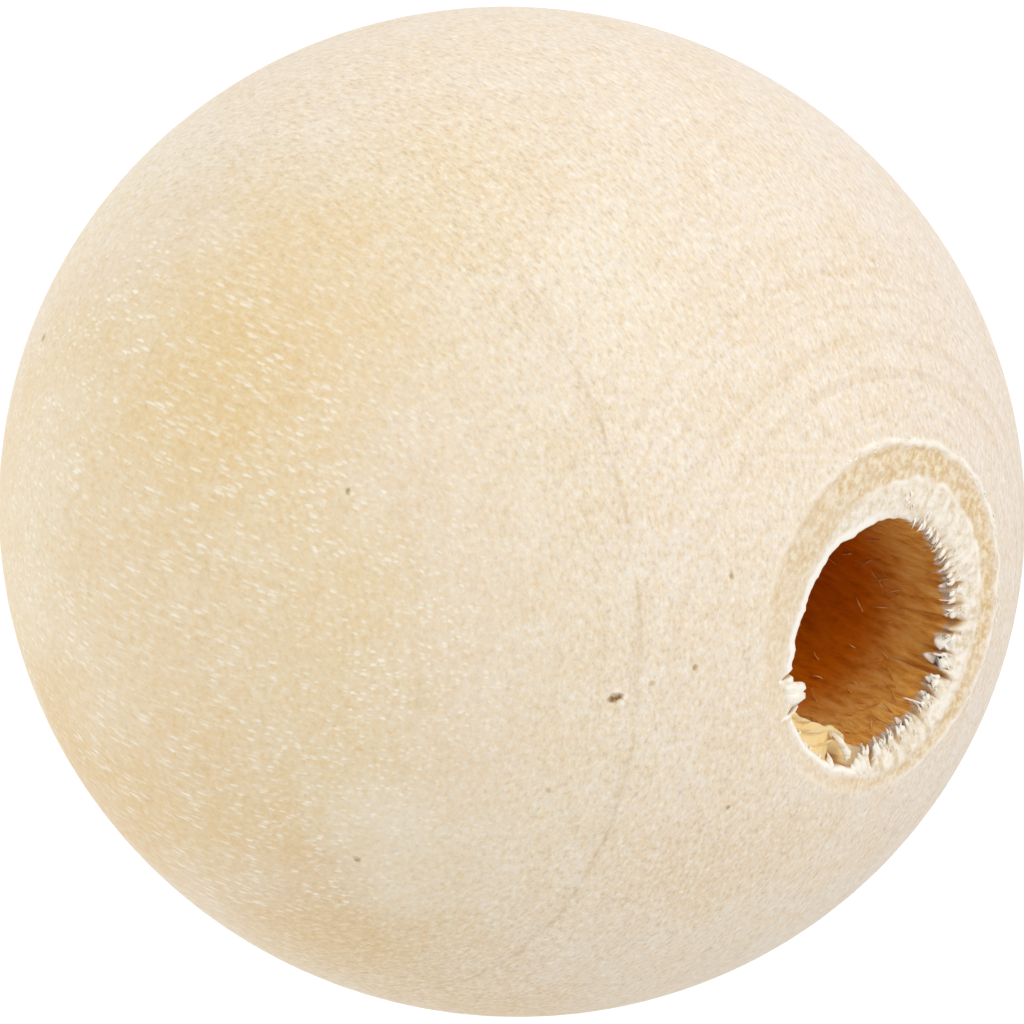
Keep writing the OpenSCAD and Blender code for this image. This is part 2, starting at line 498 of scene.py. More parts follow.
# The lighter tone at the mouth reaches further down on the torn side's two ends: painted light, where the
# bore's painted shade starts deeper
paleReach = 1 + 0.5 * bell(around, 15, 40) + 0.35 * bell(azimuth, 165, 35)
ledgeTone = ledge * lipPart * (1 - ramp(faceShare, 0.5, 0.7))
ledgeTone = ledgeTone + ledge * wallPart * (1 - ramp(depth, 0.02, 0.12))
mouthValues = {
    "rimDepth": depth / paleReach,
    "gapShade": gapShade,
    "fuzz": fuzz,
    "tanBand": tanBand,
    "ringLine": ringLine,
    "stain": stain,
    "ledge": ledgeTone,
    "nearLine": nearLine * upper * onFace,
    "strand": strand * upper * onFace,
}
for name, values in mouthValues.items():
    writeValues(ball, name, values)
print("mouth sculpted")


# Torn fibres: one sliver of each kind is modelled, then copied, bent and set round the rim

fibres = {
    "sides": 5,
    # share of the length, share of the full width
    "spike": ((0.0, 0.80), (0.25, 1.00), (0.55, 0.72), (0.82, 0.36)),
    "leaf": ((0.0, 0.55), (0.22, 0.92), (0.50, 1.00), (0.75, 0.80), (0.93, 0.42)),
    "stub": ((0.0, 0.86), (0.40, 1.00), (0.74, 0.94), (0.93, 0.66)),
    "seed": 17,
    "frayedEnds": 230,
    "crushedEnds": 70,
    "fluffEnds": 150,
    "boreHairs": 90,
    "fraying": 0.002,  # mm by which each point of a joined piece is shifted, so that none is smooth
}

# Fibres that stand out: azimuth and radius of the root, then azimuth, radius and drop of the tip, width
rimSpikes = (
    (26, 2.36, 27, 2.08, 0.10, 0.16), (33, 2.34, 34, 2.14, 0.06, 0.12), (38, 2.34, 38, 2.08, 0.12, 0.13),
    (47, 2.36, 47, 2.02, 0.16, 0.20), (51, 2.34, 51, 2.10, 0.08, 0.10), (54, 2.34, 53, 2.12, 0.10, 0.10),
    (66, 2.42, 60, 1.98, 0.34, 0.10), (69, 2.36, 69, 2.10, 0.12, 0.16), (77, 2.38, 77, 2.08, 0.18, 0.20),
    (80, 2.36, 79, 2.12, 0.10, 0.12), (88, 2.46, 88, 1.94, 0.34, 0.34), (91, 2.40, 90, 2.02, 0.16, 0.14),
    (111, 2.36, 111, 2.16, 0.06, 0.16), (118, 2.36, 120, 2.02, 0.18, 0.08),
    (122, 2.36, 122, 2.14, 0.08, 0.14), (128, 2.38, 128, 2.02, 0.16, 0.18),
    (132, 2.34, 132, 2.14, 0.06, 0.12), (138, 2.36, 137, 2.06, 0.12, 0.16),
    (146, 2.36, 145, 2.06, 0.12, 0.16), (156, 2.34, 156, 2.12, 0.08, 0.14),
    (161, 2.34, 160, 2.14, 0.06, 0.12), (-2, 2.74, -6.5, 2.42, 0.10, 0.15),
    (-4, 2.72, -5, 2.52, 0.10, 0.14), (-12, 2.72, -11, 2.50, 0.12, 0.09),
    (-20, 2.70, -19, 2.50, 0.12, 0.11), (-23, 2.70, -24, 2.56, 0.10, 0.12),
    (-31, 2.66, -30, 2.50, 0.12, 0.10), (18.5, 2.74, 14, 2.30, 0.04, 0.26),
    (15, 2.76, 12.5, 2.40, 0.03, 0.26), (12, 2.72, 11, 2.52, 0.05, 0.14),
    (28, 2.50, 26, 2.20, 0.04, 0.22),
)
# Broader flakes and blunt stubs, in the same order
rimFlakes = (
    (98, 2.50, 97, 2.02, 0.16, 0.46), (7.5, 2.42, -1, 2.06, 0.26, 0.20), (6, 2.48, 8.5, 2.18, 0.22, 0.16),
    (2, 2.24, -3, 2.02, 0.30, 0.16),
)
rimStubs = (
    (-53.5, 2.70, -49, 2.14, -0.06, 0.44), (-49.5, 2.70, -44.5, 2.18, -0.03, 0.40),
)
# Loop of one loose fibre: azimuth, radius, height over the land, radius of the loop
fibreLoop = (113, 2.44, 0.07, 0.08)
# Flakes of the broken flap that lie in the ledge, with the drop of the root last
flapFlakes = (
    (-37, 2.50, -20, 2.12, 0.36, 0.40, 0.34), (-28, 2.52, -4, 2.04, 0.36, 0.46, 0.34),
    (-14, 2.54, 8, 2.03, 0.35, 0.36, 0.34),
)


def modelSliver(name, sections):  # a tapered sliver 1 mm long and 1 mm in radius, along +Z
    bpy.ops.object.select_all(action="DESELECT")
    bpy.ops.mesh.primitive_circle_add(
        vertices=fibres["sides"], radius=mm, fill_type="NGON", location=(0, 0, 0)
    )
    sliver = startPiece(name)
    bpy.ops.object.mode_set(mode="EDIT")
    bpy.ops.mesh.select_all(action="SELECT")
    bpy.ops.transform.resize(value=(sections[0][1], sections[0][1], 1), center_override=(0, 0, 0))
    for (before, widthBefore), (place, width) in zip(sections, sections[1:]):
        bpy.ops.mesh.extrude_region_move(TRANSFORM_OT_translate={"value": (0, 0, (place - before) * mm)})
        grow = width / widthBefore
        bpy.ops.transform.resize(value=(grow, grow, 1), center_override=(0, 0, place * mm))
    rest = 1 - sections[-1][0]
    bpy.ops.mesh.extrude_region_move(TRANSFORM_OT_translate={"value": (0, 0, rest * mm)})
    bpy.ops.mesh.merge(type="CENTER")
    bpy.ops.mesh.select_all(action="SELECT")
    bpy.ops.mesh.normals_make_consistent(inside=False)
    bpy.ops.object.mode_set(mode="OBJECT")
    bpy.ops.object.shade_smooth()
    return sliver


def onRim(azimuthHere, radiusHere, drop):  # a point of the torn mouth, in mm
    turn = math.radians(azimuthHere)
    x = radiusHere * math.cos(turn)
    return np.array([x, radiusHere * math.sin(turn), mouthZ + landSlope * x - drop])


def setSliver(pattern, root, middle, tip, width, thickness):  # a copy of the pattern, bent along a curve
    copy = pattern.copy()
    copy.data = pattern.data.copy()
    bpy.context.collection.objects.link(copy)
    shape = readPoints(copy)
    t = shape[:, 2:3]
    centre = (1 - t) ** 2 * root + 2 * t * (1 - t) * middle + t ** 2 * tip
    along = 2 * (1 - t) * (middle - root) + 2 * t * (tip - middle)
    along = along / np.linalg.norm(along, axis=1, keepdims=True)
    outward = np.array([root[0], root[1], 0.0]) / math.hypot(root[0], root[1])
    side = np.cross(along, outward + np.array([0.0, 0.0, 0.4]))
    side = side / np.linalg.norm(side, axis=1, keepdims=True)
    lift = np.cross(along, side)
    writePoints(copy, centre + side * shape[:, 0:1] * width / 2 + lift * shape[:, 1:2] * thickness / 2)
    return copy


def joinSlivers(name, slivers, pattern):  # one piece of all the slivers; the pattern isn't needed any more
    bpy.ops.object.select_all(action="DESELECT")
    for sliver in slivers:
        sliver.select_set(True)
    bpy.context.view_layer.objects.active = slivers[0]
    bpy.ops.object.join()
    joined = startPiece(name)
    bpy.data.objects.remove(pattern)
    frayed = readPoints(joined)
    writePoints(joined, frayed + dice.normal(0, fibres["fraying"], frayed.shape))
    bpy.ops.object.mode_set(mode="EDIT")
    bpy.ops.mesh.select_all(action="SELECT")
    bpy.ops.mesh.normals_make_consistent(inside=False)
    bpy.ops.object.mode_set(mode="OBJECT")
    return joined


def gapAt(azimuthHere):  # how far a gap reaches past the edge there
    return max(
        gapReach * max(0, 1 - abs((azimuthHere - gapPlace + 180) % 360 - 180) / gapHalf)
        for gapPlace, gapReach, gapHalf in mouth["gaps"]
    )


def rimEdgeAt(azimuthHere):  # the plain edge of the wood there, without its gaps
    torn = 0.035 if 20 < azimuthHere < 175 else 0.0
    return float(roundTable(np.array([azimuthHere]), mouth["rimEdge"])[0]) + torn


dice = np.random.default_rng(fibres["seed"])
spike = modelSliver("spike", fibres["spike"])
leaf = modelSliver("leaf", fibres["leaf"])
stub = modelSliver("stub", fibres["stub"])
rimSlivers = []
for rootAt, rootR, tipAt, tipR, drop, width in rimSpikes:
    root = onRim(rootAt, rootR, 0.04)
    tip = onRim(tipAt, tipR, drop + 0.02)
    middle = onRim((rootAt + tipAt) / 2, rootR * 0.35 + tipR * 0.65, drop * 0.25 - 0.02)
    rimSlivers.append(setSliver(spike, root, middle, tip, width, width * 0.5))
for rootAt, rootR, tipAt, tipR, drop, width in rimFlakes:
    root = onRim(rootAt, rootR, 0.03)
    tip = onRim(tipAt, tipR, drop + 0.04)
    middle = onRim((rootAt + tipAt) / 2, rootR * 0.5 + tipR * 0.5, drop * 0.2 - 0.05)
    rimSlivers.append(setSliver(leaf, root, middle, tip, width, 0.12))
for rootAt, rootR, tipAt, tipR, drop, width in rimStubs:
    root = onRim(rootAt, rootR, 0.10)
    tip = onRim(tipAt, tipR, drop + 0.10)
    middle = onRim((rootAt + tipAt) / 2, rootR * 0.5 + tipR * 0.5, drop * 0.2 + 0.02)
    rimSlivers.append(setSliver(stub, root, middle, tip, width, 0.24))
loopAt, loopR, loopLift, loopSize = fibreLoop
loopMiddle = onRim(loopAt, loopR, -loopLift)
for i in range(5):
    ways = [math.radians(62 * (i + k)) for k in (0.0, 0.62, 1.1)]
    spokes = [loopSize * np.array([math.cos(way), math.sin(way), 0.3 * math.sin(way)]) for way in ways]
    spokes[1] = 1.3 * spokes[1]
    rimSlivers.append(setSliver(spike, *[loopMiddle + spoke for spoke in spokes], 0.045, 0.04))
# Small frayed ends between them
for i in range(fibres["frayedEnds"]):
    at = dice.uniform(19, 177)
    if gapAt(at) > 0.04:
        continue
    edge = rimEdgeAt(at)
    turnBy = dice.normal(0, 1.4)
    reach = dice.uniform(0.02, 0.15)
    drop = dice.uniform(0.06, 0.16)
    width = dice.uniform(0.05, 0.12)
    root = onRim(at, edge + dice.uniform(0.08, 0.18), 0.06)
    tip = onRim(at + turnBy, edge - reach, drop)
    middle = onRim(at + turnBy / 2, edge - reach * 0.3, drop * 0.4)
    rimSlivers.append(setSliver(spike, root, middle, tip, width, width * 0.35))
# Crushed ends lying on the lip
for i in range(fibres["crushedEnds"]):
    at = dice.uniform(14, 190)
    start = dice.uniform(2.40, 2.95)
    length = dice.uniform(0.08, 0.24)
    turnBy = dice.normal(0, 1.8)
    width = dice.uniform(0.03, 0.06)
    root = onRim(at, start, 0.03)
    tip = onRim(at + turnBy, start - length, 0.0)
    middle = onRim(at + turnBy / 2, start - length / 2, -0.06)
    rimSlivers.append(setSliver(spike, root, middle, tip, width, width * 0.4))
# Fluff along the outer edge of the land, where the facing tool left it
for i in range(fibres["fluffEnds"]):
    at = dice.uniform(80, 222)
    start = landEdge(math.cos(math.radians(at))) + dice.normal(0.02, 0.03)
    turnBy = dice.uniform(0.8, 3.2) * dice.choice((-1, 1))
    width = dice.uniform(0.03, 0.07)
    root = onRim(at, start, 0.04)
    tip = onRim(at + turnBy, start + dice.normal(0.01, 0.04), dice.uniform(0.0, 0.06))
    middle = onRim(at + turnBy / 2, start, -0.04)
    rimSlivers.append(setSliver(spike, root, middle, tip, width, width * 0.6))
tornFibres = joinSlivers("torn_fibres", rimSlivers, stub)

flapSlivers = []
for rootAt, rootR, tipAt, tipR, drop, width, rootDrop in flapFlakes:
    root = onRim(rootAt, rootR, rootDrop)
    tip = onRim(tipAt, tipR, drop)
    middle = onRim((rootAt + tipAt) / 2, (rootR + tipR) / 2 + 0.04, (drop + rootDrop) / 2 - 0.05)
    flapSlivers.append(setSliver(leaf, root, middle, tip, width, 0.05))
brokenFlap = joinSlivers("broken_flap", flapSlivers, leaf)

# Hairs that the drill has left along the wall of the bore, every third one near the rim
hairs = []
for i in range(fibres["boreHairs"]):
    at = dice.uniform(5, 175) if i % 3 else dice.uniform(10, 70)
    down = dice.uniform(0.2, 3.6) if i % 3 else dice.uniform(0.15, 1.3)
    length = dice.uniform(0.10, 0.42)
    turnBy = dice.normal(0, 5.0)
    width = dice.uniform(0.018, 0.042)
    root = onRim(at, boreR + 0.01, down)
    tip = onRim(at + turnBy, boreR - dice.uniform(0.02, 0.10), down + length)
    middle = onRim(at + turnBy * dice.uniform(-0.2, 0.8), boreR - dice.uniform(0.05, 0.12), down + length / 2)
    hairs.append(setSliver(spike, root, middle, tip, width, width * 0.8))
boreHairs = joinSlivers("bore_hairs", hairs, spike)
print("fibres set: %d at the rim, %d in the bore" % (len(rimSlivers), len(hairs)))


# Finishes

birch = {
    "grainTurn": 66.3,  # degrees about the bore that bring the growth rings square to x
    "grainLean": -5.5,  # the fibres lean a little out of line with the bore
    "ringLineAt": 5.12,  # mm from the bore to the dark growth line
    # place in mm, radius, strength
    "sapPatches": (
        ((-2.4, -9.5, 1.4), 4.4, 0.7), ((-0.3, -9.9, 0.8), 3.6, 0.6), ((3.0, -9.5, 0.0), 3.2, 0.2),
        ((5.4, -8.3, 1.5), 2.6, 0.3), ((-5.4, -7.9, 2.9), 3.4, 0.45),
    ),
    # warm, darker patches on the side away from the key light: partly a warmer wood tone, partly painted
    # shade
    "heartAndShadePatches": (
        ((7.3, -6.7, 1.4), 3.0, 0.5), ((9.0, -3.6, 2.4), 4.4, 1.3), ((8.0, -5.4, -2.5), 4.0, 0.8),
        ((9.6, 0.5, 3.0), 4.5, 0.9), ((5.3, -1.4, 8.6), 2.6, 0.45),
    ),
    # pale patches: the first two are a painted highlight, a soft sheen laid over slightly paler wood
    "palePatches": (
        ((-5.0, -6.6, 5.7), 1.7, 0.55), ((-4.2, -6.2, 6.7), 1.4, 0.4), ((2.8, -8.7, -4.6), 4.2, 0.45),
        ((-4.0, -7.5, -6.0), 4.0, 0.4), ((6.6, -5.8, 4.8), 2.4, 0.5),
    ),
    "sapTint": "#fdf4da",
    "heartAndShadeTint": "#fbf2e2",
    "paleTone": "#f2ead8",
    "patchSeed": 24,  # without a seed the patches' edges change from run to run
    # tone, radius in mm, places in mm
    "specksAndGlints": (
        # painted glints: pale dots beside the small pit
        ("#fbf1e0", 0.085, ((2.53, -5.22, 8.42), (2.72, -5.02, 8.49), (2.60, -5.03, 8.53))),
        # painted shade: a dark lens where the small pit is
        ("#86602a", 0.10, ((2.67, -5.17, 8.41), (2.72, -5.21, 8.37), (2.62, -5.13, 8.45))),
        ("#b89c6c", 0.075, (
            (-0.17, -4.24, 9.36), (1.66, -4.23, 9.21), (3.98, -2.02, 9.25), (0.61, -9.19, 4.02),
        )),
        ("#bfa273", 0.10, ((7.18, -5.72, 4.09), (-0.30, -8.42, -5.57))),
        ("#d3bd95", 0.09, ((2.19, -4.77, 8.80), (4.72, -5.06, 7.47))),
    ),
    # mm across the growth rings, tone
    "zones": (
        (-10.0, "#eae0d8"), (-4.0, "#ece1d6"), (0.4, "#eee2d2"), (4.8, "#efe3d2"), (6.0, "#eee2ce"),
        (7.4, "#eee0cb"), (8.6, "#eedcba"), (10.0, "#f1e0c3"),
    ),
    "lineTone": "#d6c6ab",
    "markTone": "#e6d4b8",
    # share of the noise, tone
    "tanTones": ((0.34, "#d6b581"), (0.48, "#e3c9a1"), (0.62, "#f2e2c6")),
    "fuzzTones": ((0.30, "#dfcaa8"), (0.46, "#ecdfca"), (0.62, "#f8efe0")),
    "boreTones": ((0.32, "#d28a36"), (0.46, "#e8a94e"), (0.58, "#f0b962"), (0.74, "#f6cc86")),
    "deepTones": ((0.32, "#ba6402"), (0.46, "#ce6e04"), (0.58, "#d67608"), (0.74, "#e08614")),
    # mouth value and the tone that covers it: the white rim line is a painted highlight, the gap tone painted
    # shade
    "mouthTones": (
        ("ringLine", "#fdf6e8"), ("ledge", "#f2d8a0"), ("nearLine", "#fffaf0"), ("gapShade", "#bd9050"),
    ),
}


# Slow changes of tone are worked out point by point and handed to the finish as a colour
surface = readPoints(ball)
grainTurn = math.radians(birch["grainTurn"])
grainLean = math.radians(birch["grainLean"])
acrossRings = surface[:, 0] * math.cos(grainLean) + surface[:, 2] * math.sin(grainLean)
acrossRings = acrossRings * math.cos(grainTurn) - surface[:, 1] * math.sin(grainTurn)
surfacePlaces = [Vector(place) for place in surface]
drift = np.array([noise.noise(place * 0.16) + 0.5 * noise.noise(place * 0.4) for place in surfacePlaces])
noise.seed_set(birch["patchSeed"])
wander = surface + 1.3 * np.array([noise.noise_vector(place * 0.45) for place in surfacePlaces])
zoneTones = np.array([paint(hexValue) for stop, hexValue in birch["zones"]])
zoneStops = [stop for stop, hexValue in birch["zones"]]
tone = np.stack([np.interp(acrossRings + 0.8 * drift, zoneStops, zoneTones[:, k]) for k in range(4)], axis=1)
# sap patches tint the tone and pale patches cover it; the darker warm patches add painted shade, the first
# pale patches a painted highlight
for name in ("sap", "heartAndShade", "pale"):
    share = np.zeros(len(surface))
    for patchPlace, patchRadius, strength in birch[name + "Patches"]:
        far = np.linalg.norm(wander - np.array(patchPlace), axis=1)
        share = np.maximum(share, strength * (1 - ramp(far, patchRadius * 0.25, patchRadius)))
    share = share[:, None]
    if name == "pale":
        tone = tone * (1 - share) + np.array(paint(birch["paleTone"])) * share
    else:
        tone = tone * (1 - share + np.array(paint(birch[name + "Tint"])) * share)
toneLayer = ball.data.attributes.new("tone", "FLOAT_COLOR", "POINT")
toneLayer.data.foreach_set("color", tone.astype(np.float32).ravel())


def spots(tree, whereSocket, radius, places):  # 1 near any of the listed places, 0 away from them
    nearest = radius
    for place in places:
        far = addNode(tree, "VectorMath", {"operation": "DISTANCE"}, {0: whereSocket, 1: place})
        nearest = addNode(
            tree, "Math", {"operation": "MINIMUM"}, {0: nearest, 1: far.outputs["Value"]}
        ).outputs[0]
    return addNode(
        tree, "MapRange", None, {"Value": nearest, "From Min": radius, "From Max": radius * 0.25}
    ).outputs["Result"]


def shaken(tree, whereSocket, cloud, amount):  # the same place, moved about by noise, in mm
    shift = addNode(
        tree, "VectorMath", {"operation": "MULTIPLY_ADD"},
        {0: cloud.outputs["Color"], 1: (amount * 2,) * 3, 2: (-amount,) * 3},
    )
    moved = addNode(
        tree, "VectorMath", {"operation": "ADD"}, {0: whereSocket, 1: shift.outputs["Vector"]}
    )
    return moved.outputs["Vector"]


# Light and dark flecks: cut ends of fibre bundles, drawn 0.07 mm wide, coarser than real, so that they show
def fleckedEnds(tree, colour, grainMm, across):
    fleckPlace = addNode(tree, "Mapping", None, {"Vector": grainMm, "Scale": (14.0, 7.0, 5.0)})
    fleckNoise = addNode(
        tree, "TexNoise", None,
        {"Vector": fleckPlace.outputs["Vector"], "Scale": 1.0, "Detail": 3.0, "Roughness": 0.72},
    )
    fleckShare = addNode(
        tree, "MapRange", easing,
        {"Value": across.outputs["X"], "From Min": 5.0, "From Max": 8.2, "To Min": 0.66, "To Max": 0.30},
    )
    for lowEnd, highEnd, blend, tone in ((0.52, 0.67, "MIX", "#fdf7ea"), (0.47, 0.29, "MULTIPLY", "#dfd4bf")):
        fleckFac = addNode(
            tree, "MapRange", None,
            {
                "Value": fleckNoise.outputs["Fac"], "From Min": lowEnd, "From Max": highEnd,
                "To Max": fleckShare.outputs["Result"],
            },
        )
        colour = addNode(
            tree, "Mix", {"data_type": "RGBA", "blend_type": blend},
            {0: fleckFac.outputs["Result"], 6: colour, 7: paint(tone)},
        ).outputs[2]
    return colour, fleckNoise.outputs["Fac"]


def fineTints(tree, colour, fineNoise):  # fine yellowish and pinkish tints
    tintNoise = addNode(tree, "SeparateColor", None, {"Color": fineNoise.outputs["Color"]})
    for channel, tone in (("Green", "#fffaec"), ("Blue", "#fff9f3")):
        tintFac = addNode(
            tree, "MapRange", None,
            {"Value": tintNoise.outputs[channel], "From Min": 0.46, "From Max": 0.70},
        )
        colour = addNode(
            tree, "Mix", tinting, {0: tintFac.outputs["Result"], 6: colour, 7: paint(tone)}
        ).outputs[2]
    return colour


# Silky dashes where the side grain is cut lengthwise: one cell is one fibre bundle. The pale dashes are a
# painted sheen on the fibres, the darker ones a tint
def fibreSheenDashes(tree, colour, grainMm, across, mottle, fineNoise):
    silkMm = shaken(tree, grainMm, fineNoise, 0.03)
    silkPlace = addNode(tree, "Mapping", None, {"Vector": silkMm, "Scale": (12.0, 12.0, 2.4)})
    silkCells = addNode(
        tree, "TexVoronoi", {"feature": "F1"}, {"Vector": silkPlace.outputs["Vector"], "Scale": 1.0}
    )
    silkShape = addNode(
        tree, "MapRange", easing,
        {"Value": silkCells.outputs["Distance"], "From Min": 0.56, "From Max": 0.20},
    )
    silkTones = addNode(tree, "SeparateColor", None, {"Color": silkCells.outputs["Color"]})
    silkZone = addNode(
        tree, "MapRange", easing,
        {"Value": across.outputs["X"], "From Min": 5.6, "From Max": 8.4, "To Min": 0.12},
    )
    silkClump = addNode(
        tree, "MapRange", None,
        {"Value": mottle.outputs["Fac"], "From Min": 0.38, "From Max": 0.62, "To Min": 1.1, "To Max": 0.45},
    )
    silkShare = addNode(
        tree, "Math", product, {0: silkZone.outputs["Result"], 1: silkClump.outputs["Result"]}
    )
    for channel, lowEnd, highEnd, most, blend, tone in (
        ("Red", 0.30, 0.80, 0.90, "MIX", "#fdf5e4"),
        ("Green", 0.60, 0.95, 0.30, "MULTIPLY", "#ecdcbc"),
    ):
        picked = addNode(
            tree, "MapRange", None,
            {"Value": silkTones.outputs[channel], "From Min": lowEnd, "From Max": highEnd, "To Max": most},
        )
        share = picked.outputs["Result"]
        for limit in (silkShape.outputs["Result"], silkShare.outputs[0]):
            share = addNode(tree, "Math", product, {0: share, 1: limit}).outputs[0]
        colour = addNode(
            tree, "Mix", {"data_type": "RGBA", "blend_type": blend}, {0: share, 6: colour, 7: paint(tone)}
        ).outputs[2]
    return colour


# One darker growth line, broken here and there, that fades out towards the plain mouth
def growthLine(tree, colour, across, mottle):
    lineOff = addNode(
        tree, "Math", {"operation": "MULTIPLY_ADD"},
        {0: mottle.outputs["Fac"], 1: 0.14, 2: -0.07 - birch["ringLineAt"]},
    )
    lineAway = addNode(
        tree, "Math", {"operation": "ADD"}, {0: across.outputs["X"], 1: lineOff.outputs[0]}
    )
    lineSize = addNode(tree, "Math", {"operation": "ABSOLUTE"}, {0: lineAway.outputs[0]})
    lineFac = addNode(
        tree, "MapRange", easing,
        {"Value": lineSize.outputs[0], "From Min": 0.08, "From Max": 0.0, "To Max": 0.36},
    )
    lineFade = addNode(
        tree, "MapRange", easing, {"Value": across.outputs["Z"], "From Min": 2.5, "From Max": 7.0}
    )
    lineBreak = addNode(
        tree, "MapRange", None,
        {"Value": mottle.outputs["Fac"], "From Min": 0.36, "From Max": 0.60, "To Min": 0.15, "To Max": 1.0},
    )
    bands = addNode(
        tree, "TexNoise", oneWay,
        {"W": lineAway.outputs[0], "Scale": 2.6, "Detail": 3.0, "Roughness": 0.6},
    )
    bandFac = addNode(
        tree, "MapRange", None,
        {"Value": bands.outputs["Fac"], "From Min": 0.52, "From Max": 0.68, "To Max": 0.10},
    )
    lineTotal = addNode(
        tree, "Math", {"operation": "MAXIMUM"},
        {0: lineFac.outputs["Result"], 1: bandFac.outputs["Result"]},
    )
    lineShown = addNode(
        tree, "Math", product, {0: lineFade.outputs["Result"], 1: lineBreak.outputs["Result"]}
    )
    linePart = addNode(tree, "Math", product, {0: lineTotal.outputs[0], 1: lineShown.outputs[0]})
    return addNode(
        tree, "Mix", tinting, {0: linePart.outputs[0], 6: colour, 7: paint(birch["lineTone"])}
    ).outputs[2]


def turningMarks(tree, colour, boreMm):  # circles about the bore
    spot = addNode(tree, "SeparateXYZ", None, {"Vector": boreMm})
    xSquare = addNode(tree, "Math", product, {0: spot.outputs["X"], 1: spot.outputs["X"]})
    square = addNode(
        tree, "Math", {"operation": "MULTIPLY_ADD"},
        {0: spot.outputs["Y"], 1: spot.outputs["Y"], 2: xSquare.outputs[0]},
    )
    fromBore = addNode(tree, "Math", {"operation": "SQRT"}, {0: square.outputs[0]})
    latitude = addNode(
        tree, "Math", {"operation": "ARCTAN2"}, {0: fromBore.outputs[0], 1: spot.outputs["Z"]}
    )
    marks = addNode(
        tree, "TexNoise", oneWay,
        {"W": latitude.outputs[0], "Scale": 27.0, "Detail": 2.0, "Roughness": 0.5},
    )
    markFac = addNode(
        tree, "MapRange", None,
        {"Value": marks.outputs["Fac"], "From Min": 0.50, "From Max": 0.64, "To Max": 0.19},
    )
    markReach = addNode(
        tree, "MapRange", easing,
        {"Value": latitude.outputs[0], "From Min": 0.95, "From Max": 0.60, "To Min": 0.1, "To Max": 1.0},
    )
    markSide = addNode(
        tree, "MapRange", None,
        {"Value": spot.outputs["X"], "From Min": 3.0, "From Max": -5.0, "To Min": 0.25, "To Max": 1.0},
    )
    share = markFac.outputs["Result"]
    for limit in (markSide, markReach):
        share = addNode(tree, "Math", product, {0: share, 1: limit.outputs["Result"]}).outputs[0]
    return addNode(tree, "Mix", tinting, {0: share, 6: colour, 7: paint(birch["markTone"])}).outputs[2]


def crushedMouth(tree, colour, boreMm, readings):  # whitish crushed fibres, tan band, pale ring
    crumbs = addNode(
        tree, "TexNoise", None, {"Vector": boreMm, "Scale": 7.0, "Detail": 3.0, "Roughness": 0.65}
    )
    stranded = addNode(
        tree, "Math", {"operation": "MULTIPLY_ADD"},
        {0: readings["strand"], 1: 0.19, 2: crumbs.outputs["Fac"]},
    )
    for name, tones, picker in (
        ("tanBand", birch["tanTones"], crumbs.outputs["Fac"]),
        ("fuzz", birch["fuzzTones"], stranded.outputs[0]),
    ):
        blotches = addNode(tree, "ValToRGB", {"stops": tones}, {"Fac": picker})
        colour = addNode(
            tree, "Mix", covering, {0: readings[name], 6: colour, 7: blotches.outputs["Color"]}
        ).outputs[2]
    for name, tone in birch["mouthTones"]:
        colour = addNode(tree, "Mix", covering, {0: readings[name], 6: colour, 7: paint(tone)}).outputs[2]
    return colour


# Burnished by the drill to orange brown, streaked along the fibres, redder inside, and darker further down as
# painted shade
def burnishedBore(tree, colour, grainMm, readings):
    streakPlace = addNode(tree, "Mapping", None, {"Vector": grainMm, "Scale": (6.5, 6.5, 1.7)})
    streaks = addNode(
        tree, "TexNoise", None,
        {"Vector": streakPlace.outputs["Vector"], "Scale": 1.0, "Detail": 3.0, "Roughness": 0.65},
    )
    light, deep = [
        addNode(tree, "ValToRGB", {"stops": birch[name]}, {"Fac": streaks.outputs["Fac"]})
        for name in ("boreTones", "deepTones")
    ]
    # painted shade: the wall turns to the darker deep tones further down the bore
    down = addNode(
        tree, "MapRange", easing, {"Value": readings["rimDepth"], "From Min": 0.6, "From Max": 2.2}
    )
    wall = addNode(
        tree, "Mix", covering,
        {0: down.outputs["Result"], 6: light.outputs["Color"], 7: deep.outputs["Color"]},
    )
    return addNode(
        tree, "Mix", covering, {0: readings["stain"], 6: colour, 7: wall.outputs[2]}
    ).outputs[2]


